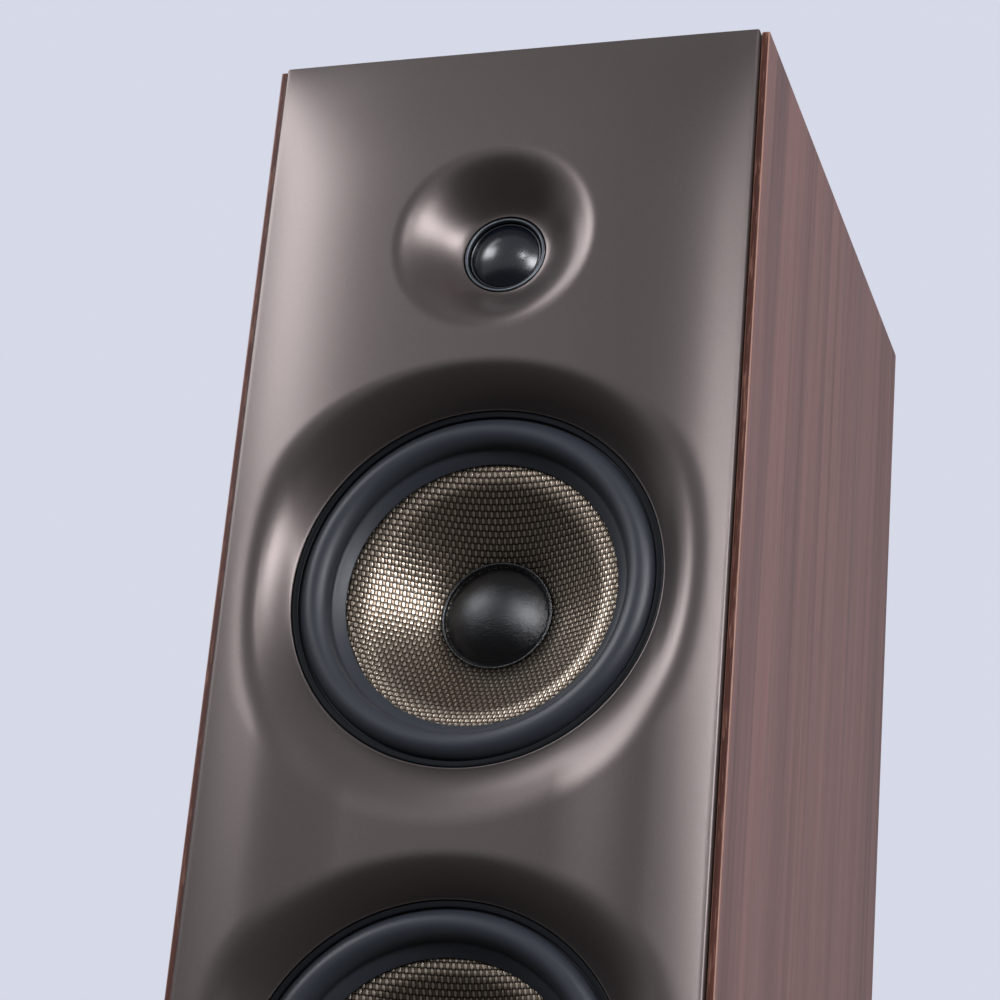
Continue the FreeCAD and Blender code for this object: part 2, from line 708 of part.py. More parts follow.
# ---------------------------------------------------------------- plinth and feet
FOOT_POINTS = [(x, y) for x in (-105.0, 105.0) for y in (-148.0, 148.0)]
PAD_THICK = 3.0
FOOT_RADIUS = 18.0
STUD_RADIUS = 4.0
STUD_TOP = CABINET_BOTTOM - 4.0


def plinth():
    half_x = PLINTH_WIDTH / 2
    half_y = PLINTH_DEPTH / 2
    board = block(-half_x, half_x, -half_y, half_y, PLINTH_BOTTOM, CABINET_BOTTOM)
    corners = [edge for edge in board.Edges if abs(edge.Length - PLINTH_THICK) < 0.01]
    board = board.makeFillet(20, corners)
    board = board.makeChamfer(3, board.Faces[top_face_index(board)].Edges)
    for x, y in FOOT_POINTS:
        board = board.cut(rod_z(STUD_RADIUS + 0.1, PLINTH_BOTTOM, STUD_TOP + 1, x, y))
    for x, y in PLINTH_BOLT_POINTS:
        board = board.cut(rod_z(6.5, PLINTH_BOTTOM, PLINTH_BOTTOM + 7, x, y))
        board = board.cut(rod_z(PLINTH_BOLT_RADIUS + 0.1, PLINTH_BOTTOM, CABINET_BOTTOM, x, y))
    return board


def top_face_index(shape):
    heights = [face.CenterOfMass.z for face in shape.Faces]
    return heights.index(max(heights))


def plinth_bolt(x, y):
    head_top = PLINTH_BOTTOM + 7
    head = rod_z(5.0, PLINTH_BOTTOM + 1, head_top, x, y)
    bolt = united([head, rod_z(PLINTH_BOLT_RADIUS, head_top - 1, PLINTH_BOLT_END, x, y)])
    return bolt.cut(hexagon_z(5, PLINTH_BOTTOM, PLINTH_BOTTOM + 4, x, y))


def foot(x, y):
    """A turned foot with its threaded stud."""
    disc = rod_z(FOOT_RADIUS, PAD_THICK, 13, 0, 0)
    rims = [edge for edge in disc.Edges if edge.Closed and edge.BoundBox.ZMin > PAD_THICK + 1]
    disc = disc.makeChamfer(2, rims)
    stud = rod_z(STUD_RADIUS, 12, STUD_TOP, 0, 0)
    return moved(united([disc, stud]), x, y)


def foot_lock_nut(x, y):
    nut = hexagon_z(13, PLINTH_BOTTOM - 6, PLINTH_BOTTOM, x, y)
    return nut.cut(rod_z(STUD_RADIUS + 0.1, PLINTH_BOTTOM - 6, PLINTH_BOTTOM, x, y))


def foot_pad(x, y):
    return rod_z(FOOT_RADIUS - 1, 0, PAD_THICK, x, y)


# ---------------------------------------------------------------- the whole speaker
def cabinet_nodes():
    return {
        "front_baffle": front_baffle(),
        "inner_baffle": inner_baffle(),
        "side_panel_left": side_panel(-1),
        "side_panel_right": side_panel(1),
        "top_panel": end_panel(CABINET_TOP, INNER_TOP),
        "bottom_panel": bottom_panel(),
        "rear_panel": rear_panel(),
        "brace_upper": brace(sum(WOOFER_Z) / 2),
        "brace_lower": brace(420),
        "damping_pads": damping_pads(),
    }


def woofer_nodes():
    makers = {
        "basket": woofer_basket,
        "trim_ring": woofer_trim_ring,
        "surround": woofer_surround,
        "cone": woofer_cone,
        "dust_cap": woofer_dust_cap,
        "voice_coil": woofer_voice_coil,
        "spider": woofer_spider,
        "top_plate": woofer_top_plate,
        "magnet": woofer_magnet,
        "yoke": woofer_yoke,
    }
    nodes = {}
    for piece, make in makers.items():
        shape = make()
        for number, z in enumerate(WOOFER_Z, start=1):
            nodes[f"woofer_{number}_{piece}"] = moved(shape, 0, 0, z)
    gasket = woofer_gasket()
    nodes["woofer_gaskets"] = group([moved(gasket, 0, 0, z) for z in WOOFER_Z])
    nodes["woofer_screws"] = group([screw for z in WOOFER_Z for screw in woofer_screws(z)])
    return nodes


def tweeter_nodes():
    makers = {
        "tweeter_faceplate": tweeter_faceplate,
        "tweeter_surround": tweeter_surround,
        "tweeter_dome": tweeter_dome,
        "tweeter_voice_coil": tweeter_voice_coil,
        "tweeter_top_plate": tweeter_top_plate,
        "tweeter_magnet": tweeter_magnet,
        "tweeter_yoke": tweeter_yoke,
        "tweeter_rear_chamber": tweeter_rear_chamber,
    }
    nodes = {name: moved(make(), 0, 0, TWEETER_Z) for name, make in makers.items()}
    nodes["tweeter_screws"] = group(tweeter_screws())
    return nodes


def rear_nodes():
    nodes = {
        "port_tube": port_tube(),
        "terminal_plate": terminal_plate(),
        "terminal_screws": terminal_screws(),
        "binding_posts": group([binding_post(x) for x in POST_X]),
        "post_collars": group([post_collar(x) for x in POST_X]),
        "post_nuts": group([post_nut(x) for x in POST_X]),
    }
    for colour, x in zip(("black", "red"), POST_X):
        nodes[f"post_washer_{colour}"] = post_washer(x)
        nodes[f"post_cap_{colour}"] = post_cap(x)
    return nodes


def crossover_nodes():
    return {
        "crossover_board": crossover_board(),
        "crossover_inductors": crossover_inductors(),
        "crossover_capacitors": crossover_capacitors(),
        "crossover_resistors": crossover_resistors(),
    }


def base_nodes():
    return {
        "plinth": plinth(),
        "plinth_bolts": group([plinth_bolt(x, y) for x, y in PLINTH_BOLT_POINTS]),
        "feet": group([foot(x, y) for x, y in FOOT_POINTS]),
        "foot_lock_nuts": group([foot_lock_nut(x, y) for x, y in FOOT_POINTS]),
        "foot_pads": group([foot_pad(x, y) for x, y in FOOT_POINTS]),
    }


def main():
    os.makedirs("parts", exist_ok=True)
    nodes = {}
    for section in (cabinet_nodes, woofer_nodes, tweeter_nodes, rear_nodes, crossover_nodes, base_nodes):
        nodes.update(section())
    for name, shape in nodes.items():
        valid = "valid" if shape.isValid() else "NOT VALID"
        print(f"{name}: {len(shape.Solids)} solid(s), {shape.Volume:.0f} mm3, {valid}")
        shape.exportStep(f"parts/{name}.step")
    print(f"{len(nodes)} nodes")


main()
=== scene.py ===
import json
import math

import bmesh
import bpy
import numpy as np
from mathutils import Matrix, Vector


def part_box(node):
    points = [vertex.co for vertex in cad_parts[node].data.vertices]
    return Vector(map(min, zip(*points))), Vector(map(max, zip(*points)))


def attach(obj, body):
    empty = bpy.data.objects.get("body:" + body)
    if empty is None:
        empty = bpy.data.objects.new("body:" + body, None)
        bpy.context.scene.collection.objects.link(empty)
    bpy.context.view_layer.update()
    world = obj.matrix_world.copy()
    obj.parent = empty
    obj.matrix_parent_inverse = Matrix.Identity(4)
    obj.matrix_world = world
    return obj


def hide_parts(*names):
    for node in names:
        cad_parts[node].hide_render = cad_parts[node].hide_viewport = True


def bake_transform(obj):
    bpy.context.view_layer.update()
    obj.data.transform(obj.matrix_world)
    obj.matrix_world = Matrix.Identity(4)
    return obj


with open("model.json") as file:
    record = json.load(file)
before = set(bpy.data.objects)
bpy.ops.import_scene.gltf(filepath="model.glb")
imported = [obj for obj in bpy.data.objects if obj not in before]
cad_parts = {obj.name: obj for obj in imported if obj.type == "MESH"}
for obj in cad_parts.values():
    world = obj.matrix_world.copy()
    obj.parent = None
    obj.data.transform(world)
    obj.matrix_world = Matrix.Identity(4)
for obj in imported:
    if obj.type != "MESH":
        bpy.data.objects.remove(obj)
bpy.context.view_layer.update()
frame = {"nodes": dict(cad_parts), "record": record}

# ---------------------------------------------------------------- sizes, in millimetres
# The front faces -Y. "Depth" is measured backwards from the plane of the baffle's edges. The
# baffle's outline and the drivers' heights come from the CAD nodes' own boxes.
MM = 0.001
BAFFLE_BACK_DEPTH = 13.0
baffle_low, baffle_high = (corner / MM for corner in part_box("front_baffle"))
BAFFLE_HALF = baffle_high.x
BAFFLE_TOP = baffle_high.z
BAFFLE_BOTTOM = baffle_low.z
EDGE_Y = baffle_high.y - BAFFLE_BACK_DEPTH


def middle_of(node):
    low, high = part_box(node)
    return (low + high) / 2 / MM


WOOFER_Z = (middle_of("woofer_1_trim_ring").z, middle_of("woofer_2_trim_ring").z)
TWEETER_Z = middle_of("tweeter_faceplate").z

# The baffle's relief: a crown that fades out at both ends, a valley along the line between the
# woofers, a dish round each woofer and a waveguide round the tweeter.
CROWN = 9.5
CROWN_POWER = 4.5
END_FADE = 94.0
END_POWER = 3
VALLEY = 5.0
VALLEY_FLAT = 40.0
VALLEY_RADIUS = 80.0
RING_OUTER = 75.0
DISH_RADIUS = 103.0
DISH_TOP_RADIUS = 91.0
DISH_POWER = 0.56
RIM_DEPTH = 7.0
TWEETER_RING = 17.1
GUIDE_RADIUS = 43.0
GUIDE_POWER = 0.81
GUIDE_DEPTH = 6.3

# The holes in the baffle, and the pockets behind them for the woofers' flanges and the
# tweeter's plate.
RING_VISIBLE = 74.65
WOOFER_HOLE = RING_VISIBLE + 0.12
WOOFER_LIP = 0.08
FLANGE_FRONT = 9.0
FLANGE_RADIUS = 83.3
TWEETER_HOLE = TWEETER_RING + 0.2
TWEETER_LIP = 0.12
PLATE_FRONT = 10.0
PLATE_RADIUS = 40.8
EDGE_ROUNDING = 1.1

# Steps in a quarter turn of a rounded edge, and from the border of a hole's patch to the hole.
ROUNDING_STEPS = 6
PATCH_STEPS = 40

# The drivers' own parts. The seat is the step that carries the tweeter's surround.
RING_INNER = 71.8
ROLL_CENTRE = (65.55, 10.1)
ROLL_RADIUS = 5.9
ROLL_THICKNESS = 0.8
CONE_VISIBLE_RADIUS = 54.9
CONE_VISIBLE_DEPTH = 15.7
CONE_SLOPE = 0.685
CAP_RADIUS = 22.7
CAP_HEIGHT = 9.0
CAP_THICKNESS = 0.6
SEAT_DEPTH = 8.6
SEAT_RADIUS = 15.2
DOME_EDGE_DEPTH = 8.3
DOME_RADIUS = 13.85
DOME_HEIGHT = 4.7
DOME_THICKNESS = 0.25


# ---------------------------------------------------------------- mesh helpers
def mesh_object(name, points, faces):
    """A smooth-shaded mesh from points in millimetres."""
    mesh = bpy.data.meshes.new(name)
    mesh.from_pydata([tuple(p) for p in np.asarray(points, float) * MM], [], [tuple(f) for f in faces])
    mesh.validate()
    mesh.polygons.foreach_set("use_smooth", [True] * len(mesh.polygons))
    mesh.update()
    piece = bpy.data.objects.new(name, mesh)
    bpy.context.scene.collection.objects.link(piece)
    return piece


def face_outwards(piece):
    """Turn a closed mesh's faces outwards."""
    work = bmesh.new()
    work.from_mesh(piece.data)
    bmesh.ops.recalc_face_normals(work, faces=work.faces)
    work.to_mesh(piece.data)
    work.free()


def rounded(points, steps=6):
    """An outline with the corners that have a radius rounded. A point is (a, b) or (a, b, radius)."""
    result = []
    count = len(points)
    for index, point in enumerate(points):
        here = np.array(point[:2], float)
        radius = point[2] if len(point) > 2 else 0.0
        before = np.array(points[index - 1][:2], float)
        after = np.array(points[(index + 1) % count][:2], float)
        if radius <= 0:
            result.append(tuple(here))
            continue
        to_before = (before - here) / np.linalg.norm(before - here)
        to_after = (after - here) / np.linalg.norm(after - here)
        half = math.acos(np.clip(np.dot(to_before, to_after), -1, 1)) / 2
        reach = radius / math.tan(half)
        bisector = (to_before + to_after) / np.linalg.norm(to_before + to_after)
        centre = here + bisector * radius / math.sin(half)
        start = here + to_before * reach - centre
        end = here + to_after * reach - centre
        turn = math.atan2(start[0] * end[1] - start[1] * end[0], np.dot(start, end))
        for step in range(steps + 1):
            angle = turn * step / steps
            spun = (start[0] * math.cos(angle) - start[1] * math.sin(angle),
                    start[0] * math.sin(angle) + start[1] * math.cos(angle))
            result.append((centre[0] + spun[0], centre[1] + spun[1]))
    return result


def arc_points(centre, radius, first, last, steps):
    """Points on an arc in (radius, depth), with angles in degrees; 0 points outwards, 90 to the front."""
    angles = [math.radians(first + (last - first) * step / steps) for step in range(steps + 1)]
    return [(centre[0] + radius * math.cos(angle), centre[1] - radius * math.sin(angle)) for angle in angles]


def lathe(name, outline, centre_z, segments=192, closed=True):
    """Turn an outline of (radius, depth) about a driver's axis. A radius of 0 closes to a point.

    A closed outline also joins its last point to its first.
    """
    points = []
    rows = []
    for radius, depth in outline:
        if radius < 1e-6:
            rows.append([len(points)] * segments)
            points.append((0.0, EDGE_Y + depth, centre_z))
            continue
        rows.append(list(range(len(points), len(points) + segments)))
        for segment in range(segments):
            angle = 2 * math.pi * segment / segments
            points.append((radius * math.cos(angle), EDGE_Y + depth, centre_z + radius * math.sin(angle)))
    pairs = list(zip(rows, rows[1:]))
    if closed:
        pairs.append((rows[-1], rows[0]))
    faces = []
    for first, second in pairs:
        for segment in range(segments):
            following = (segment + 1) % segments
            face = [first[segment], first[following], second[following], second[segment]]
            unique = list(dict.fromkeys(face))
            if len(unique) > 2:
                faces.append(unique)
    piece = mesh_object(name, points, faces)
    face_outwards(piece)
    return piece


def place(piece, body, material, *nodes, slot=None):
    """Give a piece its material, its CAD body and the nodes that it stands for."""
    piece.data.materials.clear()
    piece.data.materials.append(material)
    if body:
        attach(piece, body)
    if nodes:
        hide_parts(*nodes)


# ---------------------------------------------------------------- materials
class Graph:
    """A material's node tree, with short calls for the nodes used here."""

    def __init__(self, name, **shader_values):
        self.material = bpy.data.materials.new(name)
        self.material.use_nodes = True
        self.nodes = self.material.node_tree.nodes
        self.links = self.material.node_tree.links
        self.nodes.clear()
        self.shader = self.nodes.new("ShaderNodeBsdfPrincipled")
        output = self.nodes.new("ShaderNodeOutputMaterial")
        self.links.new(self.shader.outputs[0], output.inputs[0])
        for socket, value in shader_values.items():
            self.shader.inputs[socket.replace("_", " ")].default_value = value
        coordinates = self.nodes.new("ShaderNodeTexCoord")
        self.position = coordinates.outputs["Object"]
        self.normal = coordinates.outputs["Normal"]

    def feed(self, socket, value):
        if hasattr(value, "is_output"):
            self.links.new(value, socket)
        else:
            socket.default_value = value

    def maths(self, operation, *values):
        node = self.nodes.new("ShaderNodeMath")
        node.operation = operation
        for socket, value in zip(node.inputs, values):
            self.feed(socket, value)
        return node.outputs[0]

    def split(self, vector):
        node = self.nodes.new("ShaderNodeSeparateXYZ")
        self.feed(node.inputs[0], vector)
        return node.outputs

    def stretched(self, scale, rotation=(0, 0, 0)):
        node = self.nodes.new("ShaderNodeMapping")
        self.feed(node.inputs["Vector"], self.position)
        node.inputs["Scale"].default_value = scale
        node.inputs["Rotation"].default_value = rotation
        return node.outputs[0]

    def noise(self, vector, scale, detail=3.0, roughness=0.55, distortion=0.0):
        node = self.nodes.new("ShaderNodeTexNoise")
        self.feed(node.inputs["Vector"], vector)
        for socket, value in (("Scale", scale), ("Detail", detail), ("Roughness", roughness),
                              ("Distortion", distortion)):
            node.inputs[socket].default_value = value
        return node.outputs["Fac"]

    def ramp(self, value, *stops):
        """A colour ramp. Each stop is (position, grey or colour)."""
        node = self.nodes.new("ShaderNodeValToRGB")
        self.feed(node.inputs[0], value)
        elements = node.color_ramp.elements
        while len(elements) < len(stops):
            elements.new(0.5)
        for element, (position, colour) in zip(elements, stops):
            element.position = position
            element.color = colour if isinstance(colour, tuple) else (colour,) * 3 + (1,)
        return node.outputs[0]

    def range(self, value, low, high, new_low, new_high):
        node = self.nodes.new("ShaderNodeMapRange")
        for socket, item in zip(node.inputs, (value, low, high, new_low, new_high)):
            self.feed(socket, item)
        return node.outputs[0]

    def spread(self, noise, new_low=0.0, new_high=1.0):
        """Map the middle of a noise, where most of it lies, to a new range."""
        return self.range(noise, 0.3, 0.7, new_low, new_high)

    def mix(self, share, first, second, mode="MIX"):
        node = self.nodes.new("ShaderNodeMix")
        node.data_type = "RGBA"
        node.blend_type = mode
        self.feed(node.inputs[0], share)
        self.feed(node.inputs[6], first)
        self.feed(node.inputs[7], second)
        return node.outputs[2]

    def colour(self, value):
        self.feed(self.shader.inputs["Base Color"], value)

    def roughness(self, value):
        self.feed(self.shader.inputs["Roughness"], value)

    def bump(self, height, distance, strength):
        """Surface relief, with the distance in metres."""
        node = self.nodes.new("ShaderNodeBump")
        node.inputs["Distance"].default_value = distance
        node.inputs["Strength"].default_value = strength
        self.feed(node.inputs["Height"], height)
        self.feed(self.shader.inputs["Normal"], node.outputs[0])


def rgb(red, green, blue):
    return (red, green, blue, 1.0)


def dimmed(tint, share):
    return rgb(*(channel * share for channel in tint[:3]))


def metallic_paint():
    """Taupe paint with fine flakes in it, and a faint slow change of tint over them."""
    graph = Graph("metallic_paint", Metallic=0.85, Coat_Weight=0.05, Coat_Roughness=0.4)
    flake = graph.noise(graph.position, 4200.0, 2.0, 0.7)
    cloud = graph.noise(graph.position, 9.0, 3.0, 0.5)
    tint = graph.mix(graph.spread(flake), rgb(0.152, 0.125, 0.116), rgb(0.208, 0.174, 0.165))
    tint = graph.mix(graph.spread(cloud, 0.0, 0.2), tint, rgb(0.175, 0.145, 0.135))
    graph.colour(tint)
    graph.roughness(graph.spread(flake, 0.32, 0.38))
    graph.bump(flake, 0.00002, 0.25)
    return graph.material


def veneer(name, along="z"):
    """Dusty red-brown veneer whose grain runs along z, or along y on the top and bottom.

    What faces the front is darker mahogany with short pale dashes, and a corner that turns to
    the front has a pale peach line painted on it, a painted highlight.
    """
    graph = Graph(name, Coat_Weight=0.1, Coat_Roughness=0.35)

    def grain_space(across, lengthwise):
        scale = (across, across, lengthwise) if along == "z" else (across, lengthwise, across)
        return graph.stretched(scale)

    bands = graph.noise(grain_space(34.0, 0.8), 1.0, 4.0, 0.6, 0.3)
    figure = graph.noise(grain_space(120.0, 2.2), 1.0, 4.0, 0.65, 0.15)
    streaks = graph.noise(grain_space(420.0, 9.0), 1.0, 3.0, 0.6)
    pore = graph.noise(grain_space(1500.0, 60.0), 1.0, 1.0, 0.5)
    base = graph.ramp(bands, (0.30, rgb(0.180, 0.108, 0.110)), (0.43, rgb(0.300, 0.155, 0.148)),
                      (0.56, rgb(0.370, 0.186, 0.172)), (0.70, rgb(0.270, 0.155, 0.158)))
    darker = graph.ramp(figure, (0.30, 0.62), (0.46, 0.96), (0.60, 1.06), (0.74, 1.24))
    base = graph.mix(0.85, base, darker, "MULTIPLY")
    lines = graph.ramp(streaks, (0.32, 0.78), (0.5, 1.0), (0.68, 1.16))
    base = graph.mix(0.7, base, lines, "MULTIPLY")
    pore_mask = graph.range(pore, 0.62, 0.72, 0.0, 1.0)
    base = graph.mix(graph.maths("MULTIPLY", pore_mask, 0.3), base, rgb(0.12, 0.07, 0.06))

    facing = graph.maths("ABSOLUTE", graph.split(graph.normal)[1])
    on_lip = graph.range(facing, 0.90, 0.96, 0.0, 1.0)
    # The rounded corner between side and front gets a pale peach colour: a painted highlight.
    edge_highlight = graph.range(facing, 0.15, 0.35, 0.0, 1.0)
    dash = graph.range(graph.noise(grain_space(1100.0, 90.0), 1.0, 2.0, 0.5), 0.56, 0.68, 0.0, 1.0)
    lip_figure = graph.range(figure, 0.35, 0.65, 0.0, 1.0)
    lip_tint = graph.mix(lip_figure, rgb(0.085, 0.019, 0.010), rgb(0.185, 0.048, 0.030))
    lip_tint = graph.mix(graph.maths("MULTIPLY", dash, 0.7), lip_tint, rgb(0.36, 0.16, 0.11))
    shade = graph.mix(edge_highlight, base, rgb(0.50, 0.255, 0.185))
    graph.colour(graph.mix(on_lip, shade, lip_tint))
    graph.roughness(graph.spread(streaks, 0.4, 0.55))
    height = graph.maths("SUBTRACT", graph.maths("MULTIPLY", streaks, 0.5), pore_mask)
    graph.bump(height, 0.00008, 0.5)
    return graph.material


def soft_black(name, tint, rough, grain_scale, grain_depth, coat=0.0, specular=0.5):
    """Black rubber, plastic or coated cloth with a fine grain."""
    graph = Graph(name, Coat_Weight=coat, Coat_Roughness=0.25, Specular_IOR_Level=specular)
    grain = graph.noise(graph.position, grain_scale, 3.0, 0.6)
    cloud = graph.noise(graph.position, 60.0, 2.0, 0.5)
    graph.colour(graph.mix(graph.spread(grain), dimmed(tint, 0.75), tint))
    fine = graph.spread(grain, rough - 0.04, rough + 0.04)
    graph.roughness(graph.maths("ADD", fine, graph.spread(cloud, -0.02, 0.02)))
    graph.bump(grain, grain_depth, 0.6)
    return graph.material


def woven_fibre():
    """A plain weave of bronze-gold yarns under resin, laid flat across the driver's axis.

    The cells of the weave are a chequerboard, where upright and level yarns lie on top by turns.
    The level yarns are painted darker than the upright ones, as painted shade for the sheen that
    only upright yarns catch. The low places at each yarn's sides and ends are painted near black,
    as painted shade.
    """
    graph = Graph("woven_fibre", Metallic=0.9, Coat_Weight=0.2, Coat_Roughness=0.3)
    cell_width = 1.2 * MM
    cell_height = 2.2 * MM
    unevenness = 0.4 * MM
    turned_by = math.radians(-2)
    yarn_half_width = 0.9
    dip_at_ends = 0.92
    x, _, z = graph.split(graph.stretched((1.0, 1.0, 1.0), (0.0, turned_by, 0.0)))
    drift = graph.maths("SUBTRACT", graph.noise(graph.position, 90.0, 2.0), 0.5)
    wobble = graph.maths("MULTIPLY", drift, unevenness)
    u = graph.maths("DIVIDE", graph.maths("ADD", x, wobble), cell_width)
    v = graph.maths("DIVIDE", graph.maths("ADD", z, wobble), cell_height)
    cell = graph.maths("ADD", graph.maths("FLOOR", u), graph.maths("FLOOR", v))
    odd = graph.maths("GREATER_THAN", graph.maths("FLOORED_MODULO", cell, 2.0), 0.5)

    def within_cell(place):
        """From -1 at one side of a cell to 1 at the other."""
        return graph.maths("SUBTRACT", graph.maths("MULTIPLY", graph.maths("FRACT", place), 2.0), 1.0)

    def yarn(sideways, lengthwise):
        """Height of a yarn on top of its cell: round across and dipping at both ends."""
        squeezed = graph.maths("DIVIDE", sideways, yarn_half_width)
        section = graph.maths("SQRT", graph.maths(
            "MAXIMUM", graph.maths("SUBTRACT", 1.0, graph.maths("MULTIPLY", squeezed, squeezed)), 0.0))
        dip = graph.maths("COSINE", graph.maths("MULTIPLY", lengthwise, math.pi / 2 * dip_at_ends))
        return graph.maths("MULTIPLY", section, dip)

    from_side = within_cell(u)
    from_end = within_cell(v)
    upright = yarn(from_side, from_end)
    level = yarn(from_end, from_side)
    height = graph.maths("ADD", graph.maths("MULTIPLY", upright, graph.maths("SUBTRACT", 1.0, odd)),
                         graph.maths("MULTIPLY", level, odd))
    # Where a yarn's height drops at its sides and ends, the colour goes near black: painted shade in the
    # gaps.
    crest_share_and_gap_shade = graph.range(height, 0.12, 0.62, 0.0, 1.0)
    # Level yarns get a darker copy of the yarn's tint: painted shade.
    yarn_tint_and_painted_shade = graph.mix(odd, rgb(0.66, 0.565, 0.46), rgb(0.23, 0.17, 0.12))
    graph.colour(graph.mix(crest_share_and_gap_shade, rgb(0.014, 0.007, 0.004), yarn_tint_and_painted_shade))
    graph.roughness(graph.range(crest_share_and_gap_shade, 0.0, 1.0, 0.4, 0.27))
    graph.bump(height, 0.00012, 1.0)
    return graph.material


def metal(name, tint, rough, scale=(40.0, 2500.0, 2500.0)):
    """Metal with brushed lines along x, or an even grain where the scale is the same all ways."""
    graph = Graph(name, Metallic=1.0)
    lines = graph.noise(graph.stretched(scale), 1.0, 3.0, 0.6)
    graph.colour(graph.mix(graph.spread(lines), dimmed(tint, 0.82), tint))
    graph.roughness(graph.spread(lines, rough - 0.06, rough + 0.08))
    graph.bump(lines, 0.00004, 0.4)
    return graph.material


def mottled(name, first, second, rough, scale, depth=0.0001, metallic=0.0, coat=0.0):
    """A surface with an irregular tint and grain, such as lacquer, board, foam or ceramic."""
    graph = Graph(name, Metallic=metallic, Coat_Weight=coat, Coat_Roughness=0.15)
    grain = graph.noise(graph.position, scale, 4.0, 0.62)
    cloud = graph.noise(graph.position, scale / 30, 3.0, 0.5)
    share = graph.maths("ADD", graph.spread(grain, 0.0, 0.7), graph.spread(cloud, 0.0, 0.3))
    graph.colour(graph.mix(share, first, second))
    graph.roughness(graph.spread(grain, rough - 0.05, rough + 0.05))
    graph.bump(grain, depth, 0.5)
    return graph.material


def knurled_ring():
    """Blackened metal with fine slanting lines round the dome's ring."""
    graph = Graph("ridge_metal", Metallic=0.95)
    lines_round = 190.0
    lean = 9000.0
    x, _, z = graph.split(graph.position)
    above = graph.maths("SUBTRACT", z, TWEETER_Z * MM)
    turn = graph.maths("ARCTAN2", above, x)
    squares = graph.maths("ADD", graph.maths("POWER", x, 2.0), graph.maths("POWER", above, 2.0))
    distance = graph.maths("POWER", squares, 0.5)
    round_ring = graph.maths("MULTIPLY", turn, lines_round)
    line = graph.maths("SINE", graph.maths("ADD", round_ring, graph.maths("MULTIPLY", distance, lean)))
    light = graph.range(line, -1.0, 1.0, 0.0, 1.0)
    graph.colour(graph.mix(light, rgb(0.10, 0.11, 0.125), rgb(0.24, 0.26, 0.285)))
    graph.roughness(graph.range(line, -1.0, 1.0, 0.36, 0.26))
    graph.bump(line, 0.00003, 0.5)
    return graph.material


def wound_copper():
    """Copper wire wound round an axis along y, painted paler on each turn's crest and darker between turns:
    painted highlight and painted shade.
    """
    graph = Graph("wound_copper", Metallic=0.9)
    wire_pitch = 0.6 * MM
    _, y, _ = graph.split(graph.position)
    wire = graph.maths("SINE", graph.maths("MULTIPLY", y, 2 * math.pi / wire_pitch))
    # Pale crests and dark valleys across the turns: painted highlight and painted shade.
    light = graph.range(wire, -1.0, 1.0, 0.0, 1.0)
    graph.colour(graph.mix(light, rgb(0.33, 0.12, 0.05), rgb(0.74, 0.36, 0.2)))
    graph.roughness(graph.range(wire, -1.0, 1.0, 0.4, 0.26))
    graph.bump(wire, 0.0001, 0.6)
    return graph.material


